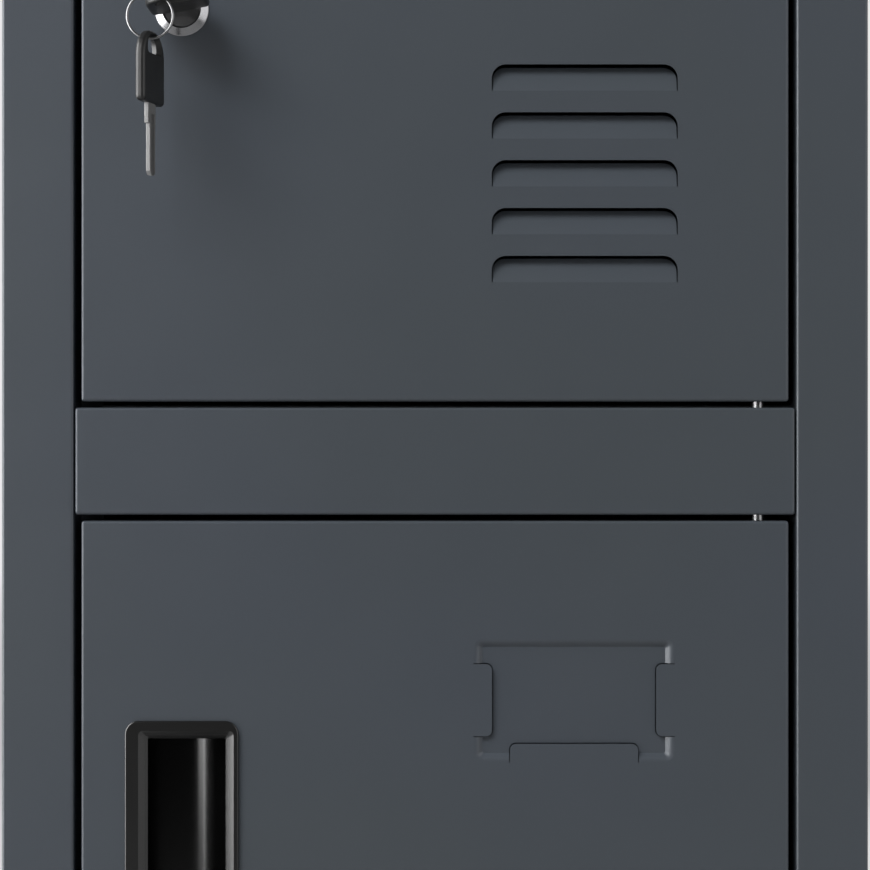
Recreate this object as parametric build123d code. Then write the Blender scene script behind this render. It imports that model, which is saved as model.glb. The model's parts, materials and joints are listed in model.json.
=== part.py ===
from build123d import *
import os
from math import cos, radians, sin

# A steel locker column with two doors, one above the other. Sizes are in millimetres.
# The solids are made with the cabinet's front plane at Y 0, +X to the right, +Y towards
# the back and +Z up, and each is moved at the end so that the origin lies on the floor,
# midway between the four feet.

# Cabinet
cabinet_width = 380.0
cabinet_depth = 400.0
stile_width = 31.5
top_rail_height = 42.2
middle_rail_height = 47.0
bottom_rail_height = 55.0
foot_height = 12.0

# Sheet steel
sheet = 1.0
bend_inside_radius = 0.3
panel_clearance = 0.2
rear_flange_width = 25.0
rear_lip_depth = 18.0
foot_flange_width = 30.0
fold_return = 8.0
panel_flange_height = 18.0

# How far a cutter runs past what it cuts, and how far two joined forms run into each other
overcut = 1.0
weld = 0.1

# Doors
door_height = 416.0
door_depth = 20.0
door_side_gap = 3.3
door_rail_gap = 2.7
door_lip_width = 12.0
rail_depth = 20.0
rail_end_gap = 0.55
stop_setback = 3.5
stop_width = 10.0

# Louvres, lanced on three sides and bent inwards about their lower edge
louvre_count = 5
louvre_width = 81.6
louvre_height = 11.6
louvre_corner_radius = 6.2
louvre_angle = 22.0
louvre_side_kerf = 0.45
louvre_top_kerf = 0.15
louvre_pitch = 21.0
louvre_centre_x = 65.7
lowest_louvre_height = 52.3

# Card holder
card_width = 85.0
card_height = 51.4
card_depth = 1.8
card_slope_width = 2.4
card_edge_radius = 4.0
card_corner_radius = 2.0
card_centre_x = 61.0
card_below_door_top = 52.9
card_tab_width = 6.5
card_side_tab_length = 31.6
card_bottom_tab_length = 56.2
card_tab_radius = 2.65
card_tab_root = 2.2
card_tab_kerf = 0.35
card_slot_reach = 1.6

# Handle
handle_width = 49.7
handle_length = 120.0
handle_below_door_top = 87.6
handle_corner_radius = 5.8
handle_proud = 1.8
handle_lip_left = 5.9
handle_lip_right = 2.0
handle_lip_end = 4.2
handle_bevel = 3.8
handle_bevel_depth = 3.5
handle_mouth_radius = 2.0
handle_throat_radius = 0.5
handle_wall = 1.8
handle_cavity_depth = 20.0
handle_undercut = 4.5
handle_lip_thickness = 5.5
handle_fit = 0.3
handle_edge_radius = 0.6
handle_clip_length = 14.0
handle_clip_height = 1.2
handle_clip_thickness = 2.0

# Lock
lock_from_latch_edge = 44.2
lock_below_handle = 36.4
bezel_radius = 11.85
bezel_proud = 2.4
bezel_rim = 0.7
bezel_edge = 0.25
bezel_mouth = 0.35
barrel_radius = 9.5
barrel_flat_width = 18.0
barrel_fit = 0.1
plug_radius = 8.2
plug_fit = 0.05
plug_recess = 1.2
plug_edge_chamfer = 0.5
plug_end_depth = 25.2
tail_width = 7.0
tail_fit = 0.1
stud_radius = 3.0
stud_beyond_nut = 1.0
cam_nut_thickness = 5.0
cam_nut_width = 10.0
cam_thickness = 2.0
cam_length = 46.0
cam_width = 16.0
cam_tip_width = 13.0
lock_nut_width = 24.0
lock_nut_thickness = 3.0
lock_nut_fit = 0.05
key_turn = 80.6

# Keys and key ring
key_head_width = 26.0
key_head_length = 30.8
key_head_thickness = 4.4
key_head_corner_radius = 11.5
key_shoulder_radius = 2.2
key_edge_radius = 1.7
key_hole_width = 17.6
key_hole_height = 8.5
key_hole_rim = 1.4
key_hole_top_radius = 6.0
key_hole_bottom_radius = 2.0
key_hole_bevel = 1.0
blade_thickness = 2.0
blade_length = 30.4
blade_width = 6.5
blade_offset = 0.85
blade_shoulder_width = 9.0
blade_shoulder_length = 8.5
blade_tip_chamfer = 1.6
blade_edge_radius = 0.35
blade_tang_length = 12.0
blade_tang_width = 6.0
blade_groove_width = 1.1
blade_groove_depth = 0.45
blade_groove_spacing = 2.0
blade_groove_start = 4.25
keyway_fit = 0.2
key_standoff = 6.5
ring_radius = 9.75
ring_wire_radius = 0.55
ring_side_offset = 10.4
ring_drop = 8.1
ring_in_front = 30.0
spare_key_turn = 77.0
spare_key_fit = 0.1

# Hinges
pin_radius = 2.5
pin_fit = 0.05
pin_from_door_edge = 12.5
pin_setback = 9.0
pin_engagement = 5.5
pin_head_radius = 4.0
pin_head_height = 2.0
pin_chamfer = 0.5
bush_sleeve_radius = 3.5
bush_boss_radius = 5.0
bush_boss_height = 5.0
bracket_thickness = 2.5
bracket_width = 26.0
bracket_depth = 15.0
bracket_leg_height = 24.0
bracket_corner_radius = 2.0

# Fasteners, feet and bumpers
screw_radius = 2.5
screw_head_radius = 4.6
screw_head_height = 2.8
screw_head_flat_radius = 2.8
screw_head_edge = 1.0
screw_beyond_nut = 1.0
nut_width = 8.0
nut_thickness = 4.0
screw_fit = 0.1
rail_screw_setback = 10.0
rivet_radius = 1.6
rivet_head_radius = 3.2
rivet_head_height = 1.0
rivet_head_flat_radius = 1.6
rivet_bulb_radius = 2.4
rivet_bulb_length = 3.0
rivets_per_side = 5
rivet_end_margin = 60.0
foot_width = 28.0
foot_inset_x = 15.0
foot_inset_y = 18.0
foot_corner_radius = 4.0
foot_hole_radius = 4.25
foot_edge_chamfer = 1.0
foot_boss_radius = 7.0
foot_boss_height = 2.0
foot_boss_fit = 0.2
bumper_radius = 3.5
bumper_top_radius = 2.1
bumper_edge = 1.6
bumper_gap = 0.3
bumper_from_door_end = 60.0
wall_anchor_radius = 4.0
wall_anchor_spacing = 250.0
wall_anchor_height = 900.0

# Stiffener behind each door's skin
stiffener_web_width = 30.0
stiffener_flange_width = 10.0
stiffener_height = 15.0
stiffener_end_gap = 22.0
stiffener_centre_x = -18.0

# Places that follow from the sizes above
fold_radius = sheet + bend_inside_radius
opening_half = cabinet_width / 2 - stile_width
door_half = opening_half - door_side_gap
rail_half = opening_half - rail_end_gap
stop_depth = door_depth + stop_setback
rear_plane = cabinet_depth - sheet
rear_lip_x = cabinet_width / 2 - rear_flange_width
rear_lip_y = rear_plane - rear_lip_depth
bottom_rail_z = foot_height
lower_door_z = bottom_rail_z + bottom_rail_height + door_rail_gap
middle_rail_z = lower_door_z + door_height + door_rail_gap
upper_door_z = middle_rail_z + middle_rail_height + door_rail_gap
top_rail_z = upper_door_z + door_height + door_rail_gap
side_top_z = top_rail_z + top_rail_height
pin_x = door_half - pin_from_door_edge
lock_x = lock_from_latch_edge - door_half
lock_height_in_door = door_height - handle_below_door_top - handle_length - lock_below_handle
handle_x = lock_x
panel_levels = (bottom_rail_z + bottom_rail_height, middle_rail_z + middle_rail_height)
rail_levels = (
    (bottom_rail_z, bottom_rail_height),
    (middle_rail_z, middle_rail_height),
    (top_rail_z, top_rail_height),
)
tab_screw_drop = panel_flange_height / 2
tab_screw_y = rear_lip_y + rear_lip_depth / 2
# A rail or panel is screwed through its own tab, the gap beside it and the side's sheet.
rail_screw_grip = 2 * sheet + rail_end_gap
panel_screw_grip = 2 * sheet + panel_clearance


def box_between(low, high):
    """A box from its lowest to its highest corner."""
    size = [h - l for l, h in zip(low, high)]
    return Pos(*low) * Box(*size, align=(Align.MIN, Align.MIN, Align.MIN))


def rod_y(radius, start, end):
    """A cylinder along Y, from start to end."""
    turned = Pos(0, start, 0) * Rot(X=-90)
    return turned * Cylinder(radius, end - start, align=(Align.CENTER, Align.CENTER, Align.MIN))


def rod_z(radius, start, end):
    """A cylinder along Z, from start to end."""
    return Pos(0, 0, start) * Cylinder(
        radius, end - start, align=(Align.CENTER, Align.CENTER, Align.MIN)
    )


def rod_x(radius, start, end):
    """A cylinder along X, from start to end."""
    turned = Pos(start, 0, 0) * Rot(Y=90)
    return turned * Cylinder(radius, end - start, align=(Align.CENTER, Align.CENTER, Align.MIN))


def turned_about_y(*points):
    """A solid of revolution about Y, from outline points given as (radius, depth)."""
    return revolve(make_face(Polyline(*points, close=True)), Axis.Y)


def hex_nut(width, thickness, bore):
    """A nut on Z, standing on Z 0."""
    outline = RegularPolygon(width / 2, 6, major_radius=False) - Circle(bore)
    return extrude(outline, thickness)


def one_part(*pieces):
    """Several separate solids kept together in one node."""
    return Compound([solid for piece in pieces for solid in piece.solids()])


def folded(points, height):
    """Sheet folded along a path in plan, with the sheet to the left of the path."""
    corners = [Vector(*p) for p in points]
    radii = []
    for before, here, after in zip(corners, corners[1:], corners[2:]):
        turns_left = (here - before).cross(after - here).Z > 0
        radii.append(fold_radius if turns_left else bend_inside_radius)
    path = FilletPolyline(*points, radius=radii)
    outline = path.wire().offset_2d(sheet, side=Side.LEFT, closed=True)
    return extrude(Face(outline), height, dir=(0, 0, 1))


def pan(half_width, height, depth):
    """A pressed pan, open at the back, standing on Z 0 with its face on Y 0."""

    def block(inset, radius, back):
        body = box_between(
            (inset - half_width, inset, inset), (half_width - inset, back, height - inset)
        )
        rear = body.faces().sort_by(Axis.Y)[-1].edges()
        edges = [edge for edge in body.edges() if edge not in rear]
        return fillet(edges, radius)

    return block(0, fold_radius, depth) - block(sheet, bend_inside_radius, depth + sheet)


def side_panel(with_stop):
    """The left side, folded round the front into the stile and round the back into a lip."""
    side_x = -cabinet_width / 2
    if with_stop:
        inner_end = [(-opening_half, stop_depth), (stop_width - opening_half, stop_depth)]
    else:
        back = stop_depth + sheet
        inner_end = [(-opening_half, back), (-opening_half - fold_return, back)]
    points = [
        (-rear_lip_x, rear_lip_y),
        (-rear_lip_x, rear_plane),
        (side_x, rear_plane),
        (side_x, 0),
        (-opening_half, 0),
        *inner_end,
    ]
    body = Pos(0, 0, foot_height) * folded(points, side_top_z - foot_height)
    body += box_between(
        (side_x + sheet / 2, sheet / 2, foot_height),
        (side_x + foot_flange_width, rear_plane - sheet / 2, foot_height + sheet),
    )
    for rail_z, rail_height in rail_levels:
        hole = rod_x(screw_radius + screw_fit, -opening_half - 2 * sheet, sheet - opening_half)
        body -= Pos(0, rail_screw_setback, rail_z + rail_height / 2) * hole
    for level in (*panel_levels, side_top_z):
        hole = rod_x(screw_radius + screw_fit, -rear_lip_x - 2 * sheet, sheet - rear_lip_x)
        body -= Pos(0, tab_screw_y, level - tab_screw_drop) * hole
    for z in rivet_heights():
        hole = rod_y(rivet_radius, rear_plane - 2 * sheet, rear_plane + sheet)
        body -= Pos(-rivet_x(), 0, z) * hole
    for y in foot_rows():
        body -= Pos(-foot_column(), y, foot_height) * rod_z(
            foot_boss_radius + foot_boss_fit, -overcut, sheet + overcut
        )
    return body


def left_side_panel():
    return side_panel(with_stop=True)


def right_side_panel():
    return mirror(side_panel(with_stop=False), about=Plane.YZ)


def rivet_x():
    return cabinet_width / 2 - rear_flange_width / 2


def rivet_heights():
    low = foot_height + rivet_end_margin
    step = (side_top_z - rivet_end_margin - low) / (rivets_per_side - 1)
    return [low + i * step for i in range(rivets_per_side)]


def foot_column():
    return cabinet_width / 2 - foot_inset_x


def foot_rows():
    return (foot_inset_y, cabinet_depth - foot_inset_y)


def back_panel():
    half = cabinet_width / 2 - fold_radius
    body = box_between(
        (-half, rear_plane, foot_height + sheet),
        (half, cabinet_depth, side_top_z - panel_clearance),
    )
    for side in (-1, 1):
        for z in rivet_heights():
            body -= Pos(side * rivet_x(), 0, z) * rod_y(
                rivet_radius, rear_plane - sheet, cabinet_depth + sheet
            )
        anchor = rod_y(wall_anchor_radius, rear_plane - sheet, cabinet_depth + sheet)
        body -= Pos(side * wall_anchor_spacing / 2, 0, wall_anchor_height) * anchor
    return body


def back_panel_rivets():
    """Blind rivets: a low head outside, the shank, and the bulb behind the flange."""
    inside = rear_plane - sheet
    rivet = turned_about_y(
        (0, cabinet_depth + rivet_head_height),
        (rivet_head_flat_radius, cabinet_depth + rivet_head_height),
        (rivet_head_radius, cabinet_depth),
        (rivet_radius, cabinet_depth),
        (rivet_radius, inside),
        (rivet_bulb_radius, inside),
        (rivet_radius, inside - rivet_bulb_length),
        (0, inside - rivet_bulb_length),
    )
    return one_part(
        *[Pos(side * rivet_x(), 0, z) * rivet for side in (-1, 1) for z in rivet_heights()]
    )


def panel_flanges(level):
    """The turned-down edges under a panel, and the holes in its two rear tabs."""
    half = cabinet_width / 2 - sheet - panel_clearance
    tab_x = rear_lip_x - panel_clearance
    back = rear_plane - sheet - panel_clearance
    notch_y = rear_lip_y - panel_clearance
    front = stop_depth + sheet + panel_clearance
    low = level - panel_flange_height
    body = box_between((-tab_x, back - sheet, low), (tab_x, back, level))
    for side in (-1, 1):
        edge = box_between((half - sheet, front, low), (half, notch_y, level))
        tab = box_between((tab_x - sheet, notch_y - sheet, low), (tab_x, back, level))
        link = box_between((tab_x - sheet, notch_y - sheet, low), (half, notch_y, level))
        corner = edge + tab + link
        hole = rod_x(screw_radius + screw_fit, tab_x - 2 * sheet, tab_x + sheet)
        corner -= Pos(0, tab_screw_y, level - tab_screw_drop) * hole
        body += corner if side > 0 else mirror(corner, about=Plane.YZ)
    return body


def shelf(level):
    """A panel that lies on a rail's top return and fills the cabinet behind it."""
    half = cabinet_width / 2 - sheet - panel_clearance
    tab_x = rear_lip_x - panel_clearance
    back = rear_plane - sheet - panel_clearance
    notch_y = rear_lip_y - panel_clearance
    front = stop_depth + sheet + panel_clearance
    tongue_front = pin_setback + bush_boss_radius + panel_clearance
    tongue_left = stop_width + panel_clearance - opening_half
    outline = make_face(
        Polyline(
            (tongue_left, tongue_front),
            (rail_half, tongue_front),
            (rail_half, front),
            (half, front),
            (half, notch_y),
            (tab_x, notch_y),
            (tab_x, back),
            (-tab_x, back),
            (-tab_x, notch_y),
            (-half, notch_y),
            (-half, front),
            (tongue_left, front),
            close=True,
        )
    )
    plate = Pos(0, 0, level) * extrude(outline, sheet)
    return plate + panel_flanges(level)


def middle_shelf():
    return shelf(panel_levels[1])


def bottom_panel():
    return shelf(panel_levels[0])


def top_cover():
    """A flat plate over the sides, with turned-down edges inside them."""
    half = cabinet_width / 2
    plate = box_between((-half, 0, side_top_z), (half, cabinet_depth, side_top_z + sheet))
    plate = fillet(plate.edges().filter_by(Axis.Z), fold_radius)
    return plate + panel_flanges(side_top_z)


def rail(z, height, bush_below, bush_above):
    """A pressed pan between the stiles, with holes for its screws and hinge bushes."""
    body = pan(rail_half, height, rail_depth)
    for side in (-1, 1):
        hole = rod_x(screw_radius + screw_fit, -2 * sheet, 2 * sheet)
        body -= Pos(side * rail_half, rail_screw_setback, height / 2) * hole
    if bush_below:
        body -= Pos(pin_x, pin_setback, 0) * rod_z(bush_sleeve_radius, -sheet, 2 * sheet)
    if bush_above:
        hole = rod_z(bush_sleeve_radius, height - 2 * sheet, height + sheet)
        body -= Pos(pin_x, pin_setback, 0) * hole
    return Pos(0, 0, z) * body


def bottom_rail():
    return rail(bottom_rail_z, bottom_rail_height, bush_below=False, bush_above=True)


def middle_rail():
    return rail(middle_rail_z, middle_rail_height, bush_below=True, bush_above=True)


def top_rail():
    return rail(top_rail_z, top_rail_height, bush_below=True, bush_above=False)


def hinge_bushes():
    """A flanged plastic bush in each rail return that a door's pin turns in."""
    sleeve = rod_z(bush_sleeve_radius, 0, sheet)
    boss = rod_z(bush_boss_radius, sheet, sheet + bush_boss_height)
    bore = rod_z(pin_radius + pin_fit, -overcut, sheet + bush_boss_height + overcut)
    bush = sleeve + boss - bore
    placed = []
    for door_z in (lower_door_z, upper_door_z):
        below = Pos(pin_x, pin_setback, door_z - door_rail_gap) * Rot(X=180)
        above = Pos(pin_x, pin_setback, door_z + door_height + door_rail_gap)
        placed += [below * bush, above * bush]
    return one_part(*placed)


def screw(grip):
    """A pan head screw on Z: its head below Z 0 and its shank through the grip and nut."""
    length = grip + nut_thickness + screw_beyond_nut
    turned = turned_about_y(
        (0, -screw_head_height),
        (screw_head_flat_radius, -screw_head_height),
        (screw_head_radius, -screw_head_edge),
        (screw_head_radius, 0),
        (screw_radius, 0),
        (screw_radius, length),
        (0, length),
    )
    return Rot(X=90) * turned


def screw_places():
    """Where each frame screw sits, and how thick a stack it holds."""
    places = []
    for side in (-1, 1):
        outwards = Rot(Y=90 * side)
        for z, height in rail_levels:
            tab = Pos(side * (rail_half - sheet), rail_screw_setback, z + height / 2)
            places.append((tab * outwards, rail_screw_grip))
        for level in (*panel_levels, side_top_z):
            tab_x = rear_lip_x - panel_clearance - sheet
            tab = Pos(side * tab_x, tab_screw_y, level - tab_screw_drop)
            places.append((tab * outwards, panel_screw_grip))
    return places


def frame_screws():
    return one_part(*[place * screw(grip) for place, grip in screw_places()])


def frame_nuts():
    nut = hex_nut(nut_width, nut_thickness, screw_radius)
    return one_part(*[place * Pos(0, 0, grip) * nut for place, grip in screw_places()])


def foot_glides():
    """Plastic feet with a boss up through the side's bottom flange and a bolt hole."""
    block = extrude(RectangleRounded(foot_width, foot_width, foot_corner_radius), foot_height)
    block = chamfer(block.faces().sort_by(Axis.Z)[0].edges(), foot_edge_chamfer)
    boss_top = foot_height + sheet + foot_boss_height
    foot = block + rod_z(foot_boss_radius, foot_height, boss_top)
    foot -= rod_z(foot_hole_radius, -overcut, boss_top + overcut)
    return one_part(
        *[Pos(side * foot_column(), y, 0) * foot for side in (-1, 1) for y in foot_rows()]
    )


def door_bumpers():
    """Rubber domes on the stop flange, just clear of the closed doors' lips."""
    tall = stop_setback - bumper_gap
    dome = turned_about_y(
        (0, stop_depth - tall),
        (bumper_top_radius, stop_depth - tall),
        (bumper_radius, stop_depth - bumper_edge),
        (bumper_radius, stop_depth),
        (0, stop_depth),
    )
    x = stop_width / 2 - opening_half
    heights = [
        door_z + offset
        for door_z in (lower_door_z, upper_door_z)
        for offset in (bumper_from_door_end, door_height - bumper_from_door_end)
    ]
    return one_part(*[Pos(x, 0, z) * dome for z in heights])


# Each door and its fittings, in the door's own frame: Z 0 is the door's bottom edge.


def arched(width, low, high, radius):
    """An outline on the plane Y 0, from low to high, with rounded upper corners."""
    half = width / 2
    corners = ((-half, low), (half, low), (half, high), (-half, high))
    flat = make_face(Polyline(*corners, close=True))
    front = Plane((0, 0, 0), x_dir=(1, 0, 0), z_dir=(0, -1, 0))
    return front * fillet(flat.vertices().group_by(Axis.Y)[-1], radius)


def louvred(skin):
    """The door with its louvres' openings, and their flaps bent back behind the skin."""
    outline = arched(louvre_width, 0, louvre_height, louvre_corner_radius)
    opening = extrude(outline, louvre_height, both=True)
    lanced = arched(
        louvre_width - 2 * louvre_side_kerf,
        0,
        louvre_height - louvre_top_kerf,
        louvre_corner_radius - louvre_side_kerf,
    )
    flap = Rot(X=-louvre_angle) * extrude(lanced, -sheet)
    for i in range(louvre_count):
        bend = Pos(louvre_centre_x, 0, lowest_louvre_height + i * louvre_pitch)
        skin = skin - bend * opening + bend * flap
    return skin


def card_frustum(grow):
    """The card holder's recess, or with grow its outer skin, about its own centre."""
    front = Plane((0, 0, 0), x_dir=(1, 0, 0), z_dir=(0, 1, 0))
    wide = card_width + 2 * grow
    high = card_height + 2 * grow
    outer = RectangleRounded(wide, high, card_corner_radius + grow)
    inner = RectangleRounded(
        wide - 2 * card_slope_width,
        high - 2 * card_slope_width,
        card_corner_radius + grow - card_slope_width / 2,
    )
    back = front.offset(card_depth)
    return Pos(0, grow, 0) * loft([front * outer, back * inner])


def card_tab(length):
    """A tab at the skin's level that points up, with its foot past the recess's edge."""
    outline = arched(length, -card_tab_root, card_tab_width, card_tab_radius)
    return extrude(outline, -sheet)


def card_slot(length):
    """The opening under a tab and the kerf round it, as far as the recess's rounded edge."""
    outline = arched(
        length + 2 * card_tab_kerf,
        -card_slot_reach,
        card_tab_width + card_tab_kerf,
        card_tab_radius + card_tab_kerf,
    )
    return extrude(outline, card_depth + 2 * sheet, both=True)


def with_card_holder(skin):
    """The door with a pressed recess, and three tabs left at the skin's level round it."""
    centre_z = door_height - card_below_door_top - card_height / 2
    place = Pos(card_centre_x, 0, centre_z)
    skin += place * card_frustum(sheet)
    skin -= place * card_frustum(0.0)
    openings = skin.faces().sort_by(Axis.Y)[0].inner_wires()
    rim = openings.sort_by_distance((card_centre_x, 0, centre_z))[0]
    skin = fillet(rim.edges(), card_edge_radius)
    sides = (
        (Pos(-card_width / 2, 0, 0) * Rot(Y=90), card_side_tab_length),
        (Pos(card_width / 2, 0, 0) * Rot(Y=-90), card_side_tab_length),
        (Pos(0, 0, -card_height / 2), card_bottom_tab_length),
    )
    for turned, length in sides:
        skin -= place * turned * card_slot(length)
        skin += place * turned * card_tab(length)
    return skin


def handle_centre_z():
    return door_height - handle_below_door_top - handle_length / 2


def cup_limits():
    """The handle cup's outer sides in X, and half its outer height, about its centre."""
    opening_left = handle_lip_left + handle_bevel - handle_width / 2
    opening_right = handle_width / 2 - handle_lip_right - handle_bevel
    opening_half_height = handle_length / 2 - handle_lip_end - handle_bevel
    left = opening_left - handle_undercut - handle_wall
    right = opening_right + handle_wall
    return left, right, opening_half_height + handle_wall


def door_panel():
    """The door's skin and side flanges, pressed from one sheet."""
    body = pan(door_half, door_height, door_depth)
    lip = box_between(
        (sheet / 2 - door_half, door_depth - sheet, sheet / 2),
        (door_half - sheet / 2, door_depth, door_height - sheet / 2),
    )
    lip -= box_between(
        (door_lip_width - door_half, 0, door_lip_width),
        (door_half - door_lip_width, 2 * door_depth, door_height - door_lip_width),
    )
    body += lip
    body = with_card_holder(louvred(body))
    left, right, half_height = cup_limits()
    cutout = box_between(
        (left - handle_fit, -sheet, -half_height - handle_fit),
        (right + handle_fit, 2 * sheet, half_height + handle_fit),
    )
    body -= Pos(handle_x, 0, handle_centre_z()) * cutout
    barrel_hole = rod_y(barrel_radius + barrel_fit, -sheet, 2 * sheet)
    flat = barrel_flat_width / 2 + barrel_fit
    barrel_hole &= box_between(
        (-flat, -2 * sheet, -bezel_radius), (flat, 4 * sheet, bezel_radius)
    )
    body -= Pos(lock_x, 0, lock_height_in_door) * barrel_hole
    for z in (0, door_height):
        body -= Pos(pin_x, pin_setback, z) * rod_z(pin_radius, -2 * sheet, 2 * sheet)
    return body


def door_stiffener():
    """A hat section down the middle of the door, welded to the back of the skin."""
    half_web = stiffener_web_width / 2
    half_foot = half_web + stiffener_flange_width
    near = 2 * sheet
    far = sheet + stiffener_height
    points = [
        (half_foot, near),
        (half_web, near),
        (half_web, far),
        (-half_web, far),
        (-half_web, near),
        (-half_foot, near),
    ]
    body = folded(points, door_height - 2 * stiffener_end_gap)
    return Pos(stiffener_centre_x, 0, stiffener_end_gap) * body


def hinge_pin():
    """A pin on Z that stands up from its bracket, with Z 0 at the door's top edge."""
    seat = -sheet - bracket_thickness
    pin = rod_z(pin_radius, seat, door_rail_gap + pin_engagement)
    pin = chamfer(pin.faces().sort_by(Axis.Z)[-1].edges(), pin_chamfer)
    return pin + rod_z(pin_head_radius, seat - pin_head_height, seat)


def hinge_bracket():
    """An angle under the door's top flange, against its side flange, with the pin's hole."""
    outer_x = pin_from_door_edge - sheet
    front = 2 * sheet - pin_setback
    top = box_between(
        (outer_x - bracket_width, front, -sheet - bracket_thickness),
        (outer_x, front + bracket_depth, -sheet),
    )
    leg = box_between(
        (outer_x - bracket_thickness, front, -sheet - bracket_leg_height),
        (outer_x, front + bracket_depth, -sheet),
    )
    body = top + leg
    outer_corner = body.edges().filter_by(Axis.Y).group_by(Axis.Z)[-1].sort_by(Axis.X)[-1]
    body = fillet(outer_corner, bracket_corner_radius)
    return body - rod_z(pin_radius, -bracket_leg_height, 0)


def at_both_hinges(piece):
    """The piece at the door's top hinge, and mirrored at its bottom hinge."""
    upper = Pos(pin_x, pin_setback, door_height) * piece
    lower = Pos(pin_x, pin_setback, 0) * mirror(piece, about=Plane.XY)
    return one_part(upper, lower)


def hinge_pins():
    return at_both_hinges(hinge_pin())


def hinge_brackets():
    return at_both_hinges(hinge_bracket())


def handle_cup():
    """A moulded cup: a proud flange, a bevelled mouth, and a scooped finger pocket."""
    left, right, half_height = cup_limits()
    flange_plane = Plane((0, -handle_proud, 0), x_dir=(1, 0, 0), z_dir=(0, -1, 0))
    flange = extrude(
        flange_plane * RectangleRounded(handle_width, handle_length, handle_corner_radius),
        -handle_proud,
    )
    flange = fillet(flange.faces().sort_by(Axis.Y)[0].edges(), handle_edge_radius)
    opening_left = left + handle_wall + handle_undercut
    opening_right = right - handle_wall
    opening_top = half_height - handle_wall
    bevel_end = handle_bevel_depth - handle_proud
    scoop_radius = handle_cavity_depth - bevel_end
    scoop_x = opening_right - scoop_radius

    def scoop(grow):
        floor = handle_cavity_depth + grow
        far_left = left + handle_wall - grow
        side = opening_right + grow
        start = (side, bevel_end)
        end = (scoop_x, floor)
        lines = Curve() + [
            Line((side, 0), start),
            RadiusArc(start, end, -(scoop_radius + grow)),
            Line(end, (far_left, floor)),
            Line((far_left, floor), (far_left, 0)),
            Line((far_left, 0), (side, 0)),
        ]
        return make_face(lines)

    cup = extrude(scoop(handle_wall), half_height, both=True)
    body = flange + cup
    pocket = extrude(scoop(0.0), opening_top, both=True)
    lip_zone = box_between(
        (2 * left, -handle_proud, -half_height),
        (opening_left, handle_lip_thickness - handle_proud, half_height),
    )
    body -= pocket - lip_zone
    mouth_front = RectangleRounded(
        handle_width - handle_lip_left - handle_lip_right,
        handle_length - 2 * handle_lip_end,
        handle_mouth_radius,
    )
    mouth_back = RectangleRounded(
        opening_right - opening_left, 2 * opening_top, handle_throat_radius
    )
    mouth_x = (handle_lip_left - handle_lip_right) / 2
    plane = Plane((mouth_x, -handle_proud, 0), x_dir=(1, 0, 0), z_dir=(0, 1, 0))
    deeper = Plane(
        ((opening_left + opening_right) / 2, bevel_end, 0), x_dir=(1, 0, 0), z_dir=(0, 1, 0)
    )
    body -= loft([plane * mouth_front, deeper * mouth_back])
    clip_front = sheet + handle_fit
    clip = box_between(
        (-handle_clip_length / 2, clip_front, half_height - weld),
        (
            handle_clip_length / 2,
            clip_front + handle_clip_thickness,
            half_height + handle_clip_height,
        ),
    )
    body += clip + mirror(clip, about=Plane.XY)
    return Pos(handle_x, 0, handle_centre_z()) * body


def at_lock(piece, angle=0.0):
    """A lock piece made about the Y axis, turned clockwise as seen from the front."""
    return Pos(lock_x, 0, lock_height_in_door) * Rot(Y=angle) * piece


def lock_housing():
    """The conical ring on the door's face and the flatted barrel through the door."""
    bore = plug_radius + plug_fit
    ring = turned_about_y(
        (bore, -bezel_proud + 2 * bezel_mouth),
        (bore + bezel_mouth, -bezel_proud),
        (bezel_radius - bezel_edge, -bezel_rim),
        (bezel_radius, bezel_edge - bezel_rim),
        (bezel_radius, 0),
        (bore, 0),
    )
    barrel = rod_y(barrel_radius, 0, plug_end_depth)
    barrel -= rod_y(bore, -overcut, plug_end_depth + overcut)
    flat = barrel_flat_width / 2
    barrel &= box_between(
        (-flat, 0, -bezel_radius), (flat, plug_end_depth, bezel_radius)
    )
    return at_lock(ring + barrel)


def lock_nut():
    nut = hex_nut(lock_nut_width, lock_nut_thickness, barrel_radius + lock_nut_fit)
    return at_lock(Pos(0, sheet, 0) * Rot(X=-90) * nut)


def keyway():
    """The stepped slot that the blade goes into, with the key upright."""
    wide = blade_shoulder_width / 2 + keyway_fit
    narrow = blade_width / 2 + blade_offset + keyway_fit
    half_thick = blade_thickness / 2 + keyway_fit
    step = blade_shoulder_length - key_standoff + keyway_fit
    end = blade_length - key_standoff + 2 * keyway_fit
    slot = box_between((-half_thick, -bezel_proud, -wide), (half_thick, step, wide))
    return slot + box_between((-half_thick, 0, -narrow), (half_thick, end, narrow))


def lock_plug():
    """The turning plug, with its keyway, square tail and stud."""
    cam_back = plug_end_depth + cam_thickness
    body = turned_about_y(
        (0, -plug_recess),
        (plug_radius - plug_edge_chamfer, -plug_recess),
        (plug_radius, plug_edge_chamfer - plug_recess),
        (plug_radius, plug_end_depth),
        (0, plug_end_depth),
    )
    half = tail_width / 2
    body += box_between((-half, plug_end_depth - weld, -half), (half, cam_back, half))
    body += rod_y(
        stud_radius, cam_back - weld, cam_back + cam_nut_thickness + stud_beyond_nut
    )
    return at_lock(body - keyway(), key_turn)


def lock_cam():
    """The cam, made pointing at the latch side as it is when locked."""
    half = cam_tip_width / 2
    tip = Pos(-cam_length + half, 0) * Circle(half)
    outline = make_hull((Circle(cam_width / 2) + tip).edges())
    outline -= Rectangle(tail_width + 2 * tail_fit, tail_width + 2 * tail_fit)
    plate = extrude(outline, cam_thickness)
    return at_lock(Pos(0, plug_end_depth, 0) * Rot(X=-90) * plate, key_turn)


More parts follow.
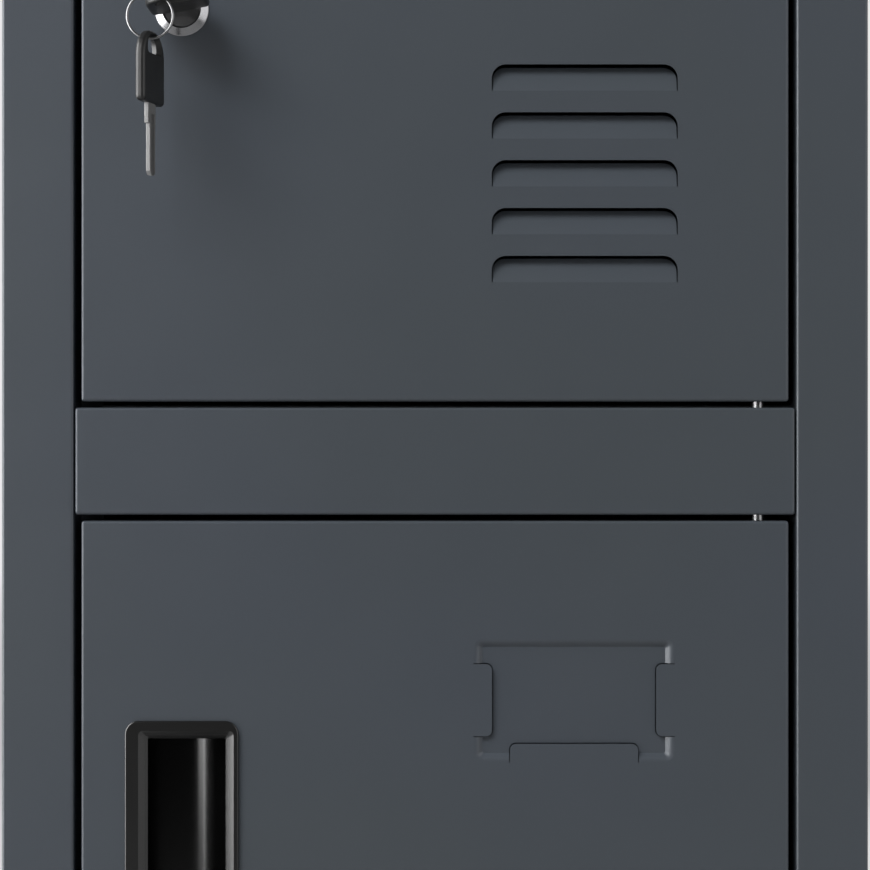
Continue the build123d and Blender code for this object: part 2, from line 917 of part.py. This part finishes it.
def cam_nut():
    nut = hex_nut(cam_nut_width, cam_nut_thickness, stud_radius)
    return at_lock(Pos(0, plug_end_depth + cam_thickness, 0) * Rot(X=-90) * nut, key_turn)


# A key lies on XY: its width along X, its head along +Y from the shoulder at Y 0.


def blank_key_head():
    middle = key_head_length / 2
    body = extrude(
        Pos(0, middle) * Rectangle(key_head_width, key_head_length),
        key_head_thickness / 2,
        both=True,
    )
    upright = body.edges().filter_by(Axis.Z)
    top = [edge for edge in upright if edge.center().Y > middle]
    body = fillet(top, key_head_corner_radius)
    upright = body.edges().filter_by(Axis.Z)
    body = fillet(upright.group_by(Axis.Y)[0], key_shoulder_radius)
    faces = body.faces().sort_by(Axis.Z)
    body = fillet([*faces[0].edges(), *faces[-1].edges()], key_edge_radius)
    hole_bottom = key_head_length - key_hole_rim - key_hole_height

    def hole(inset, z):
        """The hole's outline at height z, inset all round from the head's faces."""
        wide = key_hole_width / 2 - inset
        low = hole_bottom + inset
        high = hole_bottom + key_hole_height - inset
        path = FilletPolyline(
            (-wide, low),
            (wide, low),
            (wide, high),
            (-wide, high),
            radius=[
                key_hole_bottom_radius - inset,
                key_hole_bottom_radius - inset,
                key_hole_top_radius - inset,
                key_hole_top_radius - inset,
            ],
            close=True,
        )
        return Pos(0, 0, z) * make_face(path)

    face_z = key_head_thickness / 2
    for side in (-1, 1):
        funnel = loft([hole(key_hole_bevel, 0), hole(0, side * face_z)])
        body -= funnel
    return body


def tang():
    """The blade's end that is moulded into the head."""
    return box_between(
        (-blade_tang_width / 2, -weld, -blade_thickness / 2),
        (blade_tang_width / 2, blade_tang_length, blade_thickness / 2),
    )


def key_head():
    return blank_key_head() - tang()


def key_blade():
    """A blade with rounded edges, a wider shoulder, two grooves a side and a pointed tip."""
    half = blade_thickness / 2
    near = blade_offset - blade_width / 2
    far = blade_offset + blade_width / 2
    wide = blade_shoulder_width / 2
    outline = make_face(
        Polyline(
            (-wide, 0),
            (wide, 0),
            (wide, -blade_shoulder_length),
            (far, -blade_shoulder_length),
            (far, blade_tip_chamfer - blade_length),
            (far - blade_tip_chamfer, -blade_length),
            (near + blade_tip_chamfer, -blade_length),
            (near, blade_tip_chamfer - blade_length),
            (near, -blade_shoulder_length),
            (-wide, -blade_shoulder_length),
            close=True,
        )
    )
    body = extrude(outline, half, both=True)
    body = fillet(body.edges().filter_by(Axis.Y), blade_edge_radius) + tang()
    groove = box_between(
        (-blade_groove_width / 2, -blade_length - overcut, half - blade_groove_depth),
        (blade_groove_width / 2, -blade_groove_start, half + overcut),
    )
    for side in (-1, 1):
        place = Pos(blade_offset + side * blade_groove_spacing / 2, 0, 0)
        body -= place * groove
        body -= place * mirror(groove, about=Plane.XY)
    return body


def inserted_key_plane():
    across = radians(90 - key_turn)
    return Plane(
        (lock_x, -key_standoff, lock_height_in_door),
        x_dir=(cos(across), 0, sin(across)),
        z_dir=(sin(across), 0, -cos(across)),
    )


def ring_centre():
    return lock_x - ring_side_offset, -ring_in_front, lock_height_in_door - ring_drop


def spare_key_plane():
    """The spare key hangs upright, with the top of its hole on the ring's wire."""
    x, y, z = ring_centre()
    wire_top = z - ring_radius + ring_wire_radius
    hole_top = key_head_length - key_hole_rim - key_hole_bevel
    shoulder_z = wire_top + spare_key_fit - hole_top
    turn = radians(spare_key_turn)
    return Plane(
        (x, y, shoulder_z), x_dir=(cos(turn), sin(turn), 0), z_dir=(sin(turn), -cos(turn), 0)
    )


def inserted_key_head():
    return inserted_key_plane() * key_head()


def inserted_key_blade():
    return inserted_key_plane() * key_blade()


def key_ring():
    return Pos(*ring_centre()) * Rot(X=90) * Torus(ring_radius, ring_wire_radius)


def spare_key_head():
    return spare_key_plane() * key_head()


def spare_key_blade():
    return spare_key_plane() * key_blade()


cabinet_pieces = {
    "left_side_panel": left_side_panel,
    "right_side_panel": right_side_panel,
    "back_panel": back_panel,
    "back_panel_rivets": back_panel_rivets,
    "top_cover": top_cover,
    "top_rail": top_rail,
    "middle_rail": middle_rail,
    "bottom_rail": bottom_rail,
    "middle_shelf": middle_shelf,
    "bottom_panel": bottom_panel,
    "hinge_bushes": hinge_bushes,
    "frame_screws": frame_screws,
    "frame_nuts": frame_nuts,
    "foot_glides": foot_glides,
    "door_bumpers": door_bumpers,
}
door_pieces = {
    "door_panel": door_panel,
    "door_stiffener": door_stiffener,
    "hinge_pins": hinge_pins,
    "hinge_brackets": hinge_brackets,
    "handle_cup": handle_cup,
    "lock_housing": lock_housing,
    "lock_nut": lock_nut,
    "lock_plug": lock_plug,
    "lock_cam": lock_cam,
    "cam_nut": cam_nut,
    "key_blade": inserted_key_blade,
    "key_head": inserted_key_head,
    "key_ring": key_ring,
    "spare_key_blade": spare_key_blade,
    "spare_key_head": spare_key_head,
}


def write(name, piece, place):
    export_step(place * piece, f"parts/{name}.step")


os.makedirs("parts", exist_ok=True)
to_origin = Pos(0, -cabinet_depth / 2, 0)
for name, make in cabinet_pieces.items():
    write(name, make(), to_origin)
for name, make in door_pieces.items():
    piece = make()
    for which, door_z in (("lower", lower_door_z), ("upper", upper_door_z)):
        write(f"{which}_{name}", piece, to_origin * Pos(0, 0, door_z))
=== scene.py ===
import json
from math import cos, pi, radians, sin

import bmesh
import bpy
from mathutils import Matrix, Vector


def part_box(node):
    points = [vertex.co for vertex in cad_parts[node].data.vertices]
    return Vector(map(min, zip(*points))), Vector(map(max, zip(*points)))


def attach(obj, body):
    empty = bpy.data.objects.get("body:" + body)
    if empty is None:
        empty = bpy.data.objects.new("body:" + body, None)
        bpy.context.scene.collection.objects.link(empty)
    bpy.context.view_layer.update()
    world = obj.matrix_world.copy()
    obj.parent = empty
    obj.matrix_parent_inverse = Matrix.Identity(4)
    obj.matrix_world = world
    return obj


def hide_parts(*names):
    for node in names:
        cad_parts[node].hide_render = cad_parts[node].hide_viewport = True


# A steel locker column with two doors, in metres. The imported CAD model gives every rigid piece;
# this script gives them their finishes, remakes the rivets and the screws in more detail, and
# adds the camera, the lights and the floor.

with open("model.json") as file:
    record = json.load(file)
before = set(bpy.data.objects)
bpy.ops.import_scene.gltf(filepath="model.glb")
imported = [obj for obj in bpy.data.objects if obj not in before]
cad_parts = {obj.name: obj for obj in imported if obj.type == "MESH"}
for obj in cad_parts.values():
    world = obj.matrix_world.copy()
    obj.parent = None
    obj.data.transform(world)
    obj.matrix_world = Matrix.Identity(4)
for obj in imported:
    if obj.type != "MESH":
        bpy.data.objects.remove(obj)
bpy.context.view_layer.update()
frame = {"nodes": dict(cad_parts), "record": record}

# Camera: level, in front of the middle rail
camera_distance = 1.05
camera_height = 0.5234
view_width = 0.3815
sensor_width = 36.0

# Stage: a wide floor that fades into the world, and a dark hood for reflections only
floor_half = 25.0
floor_roughness = 0.8
floor_pale = (0.8, 0.8, 0.8, 1.0)
floor_dim = (0.42, 0.42, 0.42, 1.0)
fade_start = 2.5
fade_end = 8.0
world_pale = 0.8
world_dim = 0.36
stage_specular = 0.2
hood_centre_height = 0.55
hood_radius = 2.2
hood_half_width = 1.6
hood_start = radians(-16.0)
hood_end = radians(115.0)
hood_steps = 24
mat_start = 0.15
mat_dark_start = 1.2
mat_height = 0.003
mat_color = (0.6, 0.6, 0.6, 1.0)
mat_roughness = 0.8
black = (0.0, 0.0, 0.0, 1.0)
white = (1.0, 1.0, 1.0, 1.0)

front_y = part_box("middle_rail")[0].y


def linear(red, green, blue):
    """An 8-bit sRGB colour as linear RGBA."""

    def channel(value):
        share = value / 255
        return share / 12.92 if share <= 0.04045 else ((share + 0.055) / 1.055) ** 2.4

    return channel(red), channel(green), channel(blue), 1.0


# Materials
noise_low = 0.3
noise_high = 0.7
plate_spread = 0.15
moulded_spread = 0.1
stage_spread = 0.05
handle_flange_color = linear(19, 19, 19)
handle_flange_roughness = 0.3
# The finger pocket's near-black colour is painted shade, darker than the flange's plastic; its
# lower roughness is a real polish.
handle_pocket_painted_shade = linear(2, 2, 2)
handle_pocket_roughness = 0.2
handle_pocket_fade = 0.002


class Finish:
    """A material under construction: a principled shader and helpers to feed its sockets."""

    def __init__(self, name, color, roughness, metallic=0.0, specular=0.5):
        self.material = bpy.data.materials.new(name)
        self.material.use_nodes = True
        self.tree = self.material.node_tree
        self.shader = self.tree.nodes["Principled BSDF"]
        self.shader.inputs["Base Color"].default_value = color
        self.shader.inputs["Roughness"].default_value = roughness
        self.shader.inputs["Metallic"].default_value = metallic
        self.shader.inputs["Specular IOR Level"].default_value = specular
        self.place = self.tree.nodes.new("ShaderNodeTexCoord").outputs["Object"]
        self.height = None

    def link(self, source, target):
        """Feeds one node's output to another node's input."""
        self.tree.links.new(source, target)

    def stretched(self, scale):
        """Object coordinates, with the pattern stretched along the axes whose scale is low."""
        mapping = self.tree.nodes.new("ShaderNodeMapping")
        mapping.inputs["Scale"].default_value = scale
        self.link(self.place, mapping.inputs["Vector"])
        return mapping.outputs["Vector"]

    def noise(self, size, detail=2.0, stretch=None):
        """Noise whose features are about size metres across."""
        node = self.tree.nodes.new("ShaderNodeTexNoise")
        node.inputs["Scale"].default_value = 1 / size
        node.inputs["Detail"].default_value = detail
        self.link(self.stretched(stretch) if stretch else self.place, node.inputs["Vector"])
        return node.outputs["Fac"]

    def cells(self, size):
        """The distance to the nearest of many scattered points, size metres apart."""
        node = self.tree.nodes.new("ShaderNodeTexVoronoi")
        node.inputs["Scale"].default_value = 1 / size
        self.link(self.place, node.inputs["Vector"])
        return node.outputs["Distance"]

    def depth(self):
        """How far back a point lies, as its Y."""
        node = self.tree.nodes.new("ShaderNodeSeparateXYZ")
        self.link(self.place, node.inputs["Vector"])
        return node.outputs["Y"]

    def ranged(self, source, low, high, out_low=0.0, out_high=1.0):
        """A value between low and high, as its like between out_low and out_high."""
        node = self.tree.nodes.new("ShaderNodeMapRange")
        values = (low, high, out_low, out_high)
        for name, value in zip(("From Min", "From Max", "To Min", "To Max"), values):
            node.inputs[name].default_value = value
        self.link(source, node.inputs["Value"])
        return node.outputs["Result"]

    def mixed_color(self, share, first, second):
        """Colours the surface from first, where the share is 0, to second, where it is 1."""
        node = self.tree.nodes.new("ShaderNodeMix")
        node.data_type = "RGBA"
        self.link(share, node.inputs["Factor"])
        node.inputs["A"].default_value = first
        node.inputs["B"].default_value = second
        self.link(node.outputs["Result"], self.shader.inputs["Base Color"])

    def vary_roughness(self, share, low, high):
        """Spreads the roughness from low to high over the usual reach of a noise."""
        varied = self.ranged(share, noise_low, noise_high, low, high)
        self.link(varied, self.shader.inputs["Roughness"])

    def spread_roughness(self, share, roughness, spread):
        """Varies the roughness by the given share of itself, up and down."""
        self.vary_roughness(share, roughness * (1 - spread), roughness * (1 + spread))

    def bump(self, source, depth):
        """Adds relief, depth metres from the pattern's lowest to its highest point."""
        node = self.tree.nodes.new("ShaderNodeBump")
        node.inputs["Distance"].default_value = depth
        self.link(source, node.inputs["Height"])
        if self.height:
            self.link(self.height, node.inputs["Normal"])
        self.height = node.outputs["Normal"]
        self.link(self.height, self.shader.inputs["Normal"])


def powder_coat():
    """Satin powder coat: an orange-peel skin with a fine grain and a faint drift of tone."""
    finish = Finish("powder_coat", linear(70, 76, 83), roughness=0.42)
    drift = finish.ranged(finish.noise(size=0.16, detail=1.0), low=0.35, high=0.65)
    finish.mixed_color(drift, linear(70, 76, 84), linear(70, 76, 82))
    finish.vary_roughness(finish.noise(size=0.03), low=0.41, high=0.43)
    finish.bump(finish.noise(size=0.0016), depth=0.00002)
    finish.bump(finish.noise(size=0.0004), depth=0.000006)
    return finish.material


def bright_plate(name, color, roughness):
    """Bright plated metal with very fine scratches."""
    finish = Finish(name, color, roughness, metallic=1.0)
    finish.spread_roughness(finish.noise(size=0.002), roughness, plate_spread)
    finish.bump(finish.noise(size=0.0003), depth=0.000002)
    return finish.material


def zinc_plate():
    """Dull zinc plate with a faint spangle."""
    finish = Finish("zinc_plate", linear(176, 178, 180), roughness=0.4, metallic=1.0)
    spangle = finish.ranged(finish.cells(size=0.003), low=0.0, high=0.6)
    finish.mixed_color(spangle, linear(184, 186, 190), linear(160, 162, 164))
    finish.vary_roughness(finish.noise(size=0.004), low=0.34, high=0.48)
    finish.bump(finish.noise(size=0.0005), depth=0.000004)
    return finish.material


def milled_steel():
    """Nickel-plated key steel, with fine milling lines along the blade."""
    finish = Finish("milled_steel", linear(136, 136, 136), roughness=0.75, metallic=1.0)
    lines = finish.noise(size=0.0002, detail=3.0, stretch=(1.0, 1.0, 0.05))
    finish.vary_roughness(lines, low=0.68, high=0.82)
    finish.bump(lines, depth=0.000004)
    return finish.material


def moulded(name, color, roughness, grain, depth):
    """Moulded plastic or rubber with a fine spark-eroded grain."""
    finish = Finish(name, color, roughness)
    finish.spread_roughness(finish.noise(size=0.01), roughness, moulded_spread)
    finish.bump(finish.noise(size=grain), depth)
    return finish.material


def handle_plastic():
    """Moulded plastic, finely grained on the flange and polished in the finger pocket, whose colour
    is darkened to near black as painted shade.
    """
    finish = Finish("handle_plastic", handle_flange_color, handle_flange_roughness, specular=0.8)
    # Behind the front, the finger pocket fades to a real polish and to a near-black painted shade.
    pocket = finish.ranged(finish.depth(), front_y, front_y + handle_pocket_fade)
    finish.mixed_color(pocket, handle_flange_color, handle_pocket_painted_shade)
    roughness = finish.ranged(pocket, 0.0, 1.0, handle_flange_roughness, handle_pocket_roughness)
    finish.link(roughness, finish.shader.inputs["Roughness"])
    finish.bump(finish.noise(size=0.0003), depth=0.0000006)
    return finish.material


finishes = {
    "body_paint": powder_coat(),
    "lock_chrome": bright_plate("lock_chrome", linear(137, 137, 139), roughness=0.24),
    "plug_plate": bright_plate("plug_plate", linear(120, 120, 121), roughness=0.4),
    "pin_chrome": bright_plate("pin_chrome", linear(160, 160, 161), roughness=0.42),
    "ring_wire": bright_plate("ring_wire", linear(137, 137, 138), roughness=0.4),
    "key_steel": milled_steel(),
    "key_plastic": moulded(
        "key_plastic", linear(31, 31, 31), roughness=0.42, grain=0.0004, depth=0.00001
    ),
    "handle_plastic": handle_plastic(),
    "zinc": zinc_plate(),
    "bush_plastic": moulded(
        "bush_plastic", linear(40, 40, 42), roughness=0.5, grain=0.0005, depth=0.000008
    ),
    "foot_plastic": moulded(
        "foot_plastic", linear(32, 32, 33), roughness=0.55, grain=0.0006, depth=0.00002
    ),
    "bumper_rubber": moulded(
        "bumper_rubber", linear(28, 28, 28), roughness=0.7, grain=0.0005, depth=0.00001
    ),
}


def dress_nodes():
    """Gives every CAD node the finish of its slot in the record."""
    slots = {part["node"]: part["material_slot"] for part in frame["record"]["subparts"]}
    for name, node in frame["nodes"].items():
        node.data.materials.clear()
        node.data.materials.append(finishes[slots[name]])


# Fasteners: domed blind rivets and cross-headed screws, in the places of their plain CAD solids.
# Profiles run outwards and down from the head's top, as (radius, height above the seat).
turned_steps = 24
same_point = 0.000001
crease_angle = radians(30)
rivet_head = 0.001
rivet_profile = [
    (0.0, 0.00062),
    (0.00075, 0.0005),
    (0.0008, 0.0002),
    (0.00095, 0.0002),
    (0.001, 0.00085),
    (0.00115, 0.001),
    (0.0017, 0.00093),
    (0.0023, 0.00072),
    (0.0028, 0.00042),
    (0.00315, 0.00012),
    (0.0032, 0.0),
    (0.0016, 0.0),
    (0.0016, -0.002),
    (0.0022, -0.00205),
    (0.0024, -0.0023),
    (0.0023, -0.0034),
    (0.0018, -0.0046),
    (0.0012, -0.005),
    (0.0, -0.005),
]
screw_head = 0.0028
screw_radius = 0.0025
screw_point = 0.0005
screw_head_profile = [
    (0.0028, 0.0028),
    (0.0036, 0.00255),
    (0.0042, 0.002),
    (0.00452, 0.0013),
    (0.0046, 0.0007),
    (0.0046, 0.0),
    (0.0025, 0.0),
]
cross_mouth_reach = 0.0019
cross_mouth_half_width = 0.00055
cross_floor_reach = 0.0006
cross_floor_half_width = 0.0003
cross_depth = 0.0017


def solids_of(name):
    """The lowest and highest corner of each separate solid in a CAD node."""
    source = bmesh.new()
    source.from_mesh(frame["nodes"][name].data)
    bmesh.ops.remove_doubles(source, verts=source.verts, dist=same_point)
    waiting = set(source.verts)
    boxes = []
    while waiting:
        front = [waiting.pop()]
        found = list(front)
        while front:
            vert = front.pop()
            near = {edge.other_vert(vert) for edge in vert.link_edges} & waiting
            waiting -= near
            front += near
            found += near
        low = Vector([min(vert.co[axis] for vert in found) for axis in range(3)])
        high = Vector([max(vert.co[axis] for vert in found) for axis in range(3)])
        boxes.append((low, high))
    source.free()
    return sorted(boxes, key=lambda corners: tuple(corners[0]))


def turned(target, profile, place):
    """Turns a profile about Z, puts it in its place and returns its rings of vertices."""
    rings = []
    for radius, height in profile:
        angles = [2 * pi * i / turned_steps for i in range(turned_steps if radius else 1)]
        points = [Vector((radius * cos(turn), radius * sin(turn), height)) for turn in angles]
        rings.append([target.verts.new(place @ point) for point in points])
    for upper, lower in zip(rings, rings[1:]):
        for i in range(turned_steps):
            j = (i + 1) % turned_steps
            corners = [upper[i % len(upper)], lower[i % len(lower)]]
            corners += [vert for vert in (lower[j % len(lower)], upper[j % len(upper)])
                        if vert not in corners]
            target.faces.new(corners)
    return rings


def cross_outline(reach, half_width):
    """The twelve corners of a cross, counter-clockwise from the arm along X."""
    arm = [(reach, half_width), (half_width, half_width), (half_width, reach)]
    corners = []
    for quarter in range(4):
        for x, y in arm:
            corners.append((x, y))
        arm = [(-y, x) for x, y in arm]
    return corners


def cross_recess(target, rim, place):
    """Fills a head's top, inside its rim of vertices, with a tapered cross recess."""

    def loop(reach, half_width, height):
        outline = cross_outline(reach, half_width)
        return [target.verts.new(place @ Vector((x, y, height))) for x, y in outline]

    mouth = loop(cross_mouth_reach, cross_mouth_half_width, screw_head)
    floor = loop(cross_floor_reach, cross_floor_half_width, screw_head - cross_depth)
    count = len(mouth)
    for i in range(count):
        j = (i + 1) % count
        arc = [rim[(2 * i + step) % turned_steps] for step in (3, 2, 1)]
        target.faces.new([mouth[i], mouth[j], *arc])
        target.faces.new([floor[i], floor[j], mouth[j], mouth[i]])
    target.faces.new(floor)


def fastener_piece(name, target, node):
    """Turns the finished mesh into a piece that stands for a CAD node of the cabinet."""
    bmesh.ops.recalc_face_normals(target, faces=target.faces)
    mesh = bpy.data.meshes.new(name)
    target.to_mesh(mesh)
    target.free()
    mesh.shade_smooth()
    mesh.set_sharp_from_angle(angle=crease_angle)
    mesh.materials.append(finishes["zinc"])
    piece = bpy.data.objects.new(name, mesh)
    bpy.context.scene.collection.objects.link(piece)
    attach(piece, "cabinet")
    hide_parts(node)


def make_rivets():
    """Each rivet's dome faces back, and its set end lies inside the locker."""
    target = bmesh.new()
    facing_back = Matrix.Rotation(-pi / 2, 4, "X")
    for low, high in solids_of("back_panel_rivets"):
        seat = Vector(((low.x + high.x) / 2, high.y - rivet_head, (low.z + high.z) / 2))
        turned(target, rivet_profile, Matrix.Translation(seat) @ facing_back)
    fastener_piece("domed_rivets", target, "back_panel_rivets")


def make_screws():
    """Each screw's head faces the cabinet's middle."""
    target = bmesh.new()
    for low, high in solids_of("frame_screws"):
        side = 1 if low.x > 0 else -1
        inner = low.x if side > 0 else high.x
        seat = Vector((inner + side * screw_head, (low.y + high.y) / 2, (low.z + high.z) / 2))
        place = Matrix.Translation(seat) @ Matrix.Rotation(-side * pi / 2, 4, "Y")
        length = high.x - low.x - screw_head
        shank = [
            (screw_radius, screw_point - length),
            (screw_radius - screw_point, -length),
            (0.0, -length),
        ]
        rings = turned(target, screw_head_profile + shank, place)
        cross_recess(target, rings[0], place)
    fastener_piece("cross_head_screws", target, "frame_screws")


# Floor, hood, world, lights and camera


def stage_material(name, color, roughness):
    """A dull material for what isn't part of the locker."""
    finish = Finish(name, color, roughness, specular=stage_specular)
    finish.spread_roughness(finish.noise(size=0.4), roughness, stage_spread)
    return finish.material


def stage_piece(name, corners, faces, material):
    """A piece of the stage, which isn't part of the locker."""
    mesh = bpy.data.meshes.new(name)
    mesh.from_pydata(corners, [], faces)
    mesh.materials.append(material)
    piece = bpy.data.objects.new(name, mesh)
    bpy.context.scene.collection.objects.link(piece)
    return piece


def seen_directly(tree):
    """1 for what the camera, a mirror image or glass shows, and 0 for the light that spreads."""
    rays = tree.nodes.new("ShaderNodeLightPath")
    seen = rays.outputs["Is Camera Ray"]
    for name in ("Is Glossy Ray", "Is Transmission Ray"):
        either = tree.nodes.new("ShaderNodeMath")
        either.operation = "MAXIMUM"
        tree.links.new(seen, either.inputs[0])
        tree.links.new(rays.outputs[name], either.inputs[1])
        seen = either.outputs["Value"]
    return seen


def fade_far_off(finish, seen):
    """Turns what is seen of the floor far off into the pale of the world behind it."""
    tree = finish.tree
    distance = tree.nodes.new("ShaderNodeVectorMath")
    distance.operation = "LENGTH"
    finish.link(finish.place, distance.inputs[0])
    far = finish.ranged(distance.outputs["Value"], fade_start, fade_end)
    share = tree.nodes.new("ShaderNodeMath")
    share.operation = "MULTIPLY"
    finish.link(far, share.inputs[0])
    finish.link(seen, share.inputs[1])
    pale = tree.nodes.new("ShaderNodeEmission")
    pale.inputs["Strength"].default_value = world_pale
    faded = tree.nodes.new("ShaderNodeMixShader")
    finish.link(share.outputs["Value"], faded.inputs[0])
    finish.link(finish.shader.outputs["BSDF"], faded.inputs[1])
    finish.link(pale.outputs["Emission"], faded.inputs[2])
    finish.link(faded.outputs["Shader"], tree.nodes["Material Output"].inputs["Surface"])


def make_floor():
    """A pale floor that throws less light back at the locker than its colour would."""
    corners = [(x * floor_half, y * floor_half, 0) for x, y in ((-1, -1), (1, -1), (1, 1), (-1, 1))]
    finish = Finish("pale_floor", floor_pale, floor_roughness, specular=stage_specular)
    seen = seen_directly(finish.tree)
    finish.mixed_color(seen, floor_dim, floor_pale)
    fade_far_off(finish, seen)
    stage_piece("floor", corners, [(0, 1, 2, 3)], finish.material)


def make_dark_hood():
    """A cloth laid on the floor and hung in an arch over the front, for dark reflections only.

    It is grey near the locker and black further off.
    """
    rows = [(front_y - mat_start, mat_height), (front_y - mat_dark_start, mat_height)]
    for i in range(hood_steps + 1):
        angle = hood_start + (hood_end - hood_start) * i / hood_steps
        z = hood_centre_height + hood_radius * sin(angle)
        rows.append((front_y - hood_radius * cos(angle), max(z, mat_height)))
    corners = [(side * hood_half_width, y, z) for y, z in rows for side in (-1, 1)]
    faces = [(2 * i, 2 * i + 1, 2 * i + 3, 2 * i + 2) for i in range(len(rows) - 1)]
    grey_cloth = stage_material("grey_cloth", mat_color, mat_roughness)
    black_cloth = stage_material("black_cloth", black, roughness=1.0)
    hood = stage_piece("dark_hood", corners, faces, grey_cloth)
    hood.data.materials.append(black_cloth)
    for face in hood.data.polygons[1:]:
        face.material_index = 1
    hood.visible_camera = False
    hood.visible_diffuse = False
    hood.visible_shadow = False


def make_world():
    """A pale surround for what the camera and the metal see, and a dim one for the rest."""
    world = bpy.data.worlds.new("studio")
    bpy.context.scene.world = world
    world.use_nodes = True
    tree = world.node_tree
    strength = tree.nodes.new("ShaderNodeMapRange")
    strength.inputs["To Min"].default_value = world_dim
    strength.inputs["To Max"].default_value = world_pale
    tree.links.new(seen_directly(tree), strength.inputs["Value"])
    background = tree.nodes["Background"]
    background.inputs["Color"].default_value = white
    tree.links.new(strength.outputs["Result"], background.inputs["Strength"])


def softbox(name, azimuth, distance, low, high, width, radiance):
    """An upright rectangular lamp, from low to high, that faces the middle of the front.

    Its azimuth, in degrees, is 0 in front of the doors and grows towards the right.
    """
    height = high - low
    away = Vector((sin(radians(azimuth)), -cos(radians(azimuth)), 0.0))
    data = bpy.data.lights.new(name, "AREA")
    data.shape = "RECTANGLE"
    data.size = width
    data.size_y = height
    data.energy = radiance * pi * width * height
    lamp = bpy.data.objects.new(name, data)
    middle = Vector((0.0, front_y, (low + high) / 2))
    turn = (-away).to_track_quat("-Z", "Y").to_matrix().to_4x4()
    lamp.matrix_world = Matrix.Translation(middle + distance * away) @ turn
    bpy.context.scene.collection.objects.link(lamp)
    lamp.visible_camera = False
    return lamp


def make_lights():
    """A high key light, a light from behind, and three strips that only metal and gloss show."""
    strips = [
        softbox("far_left_strip", azimuth=-77, distance=1.5, low=0.05, high=2.2, width=1.3,
                radiance=8.0),
        softbox("left_strip", azimuth=-48, distance=1.9, low=0.12, high=2.4, width=0.64,
                radiance=4.0),
        softbox("right_strip", azimuth=52, distance=1.5, low=0.25, high=1.35, width=0.8,
                radiance=1.55),
    ]
    for strip in strips:
        strip.visible_diffuse = False
    key = softbox("key_light", azimuth=-38, distance=3.4, low=2.8, high=5.4, width=3.0,
                  radiance=11.3)
    key.visible_glossy = False
    softbox("back_light", azimuth=160, distance=2.6, low=0.6, high=2.2, width=1.6, radiance=2.0)


def make_camera():
    """A level camera whose frame is view_width wide at the front of the locker."""
    data = bpy.data.cameras.new("camera")
    data.sensor_width = sensor_width
    data.lens = sensor_width * camera_distance / view_width
    camera = bpy.data.objects.new("camera", data)
    camera.location = (0.0, front_y - camera_distance, camera_height)
    camera.rotation_euler = (pi / 2, 0.0, 0.0)
    bpy.context.scene.collection.objects.link(camera)
    bpy.context.scene.camera = camera


bpy.context.scene.view_settings.view_transform = "Standard"
make_camera()
make_world()
make_lights()
make_floor()
make_dark_hood()
dress_nodes()
make_rivets()
make_screws()
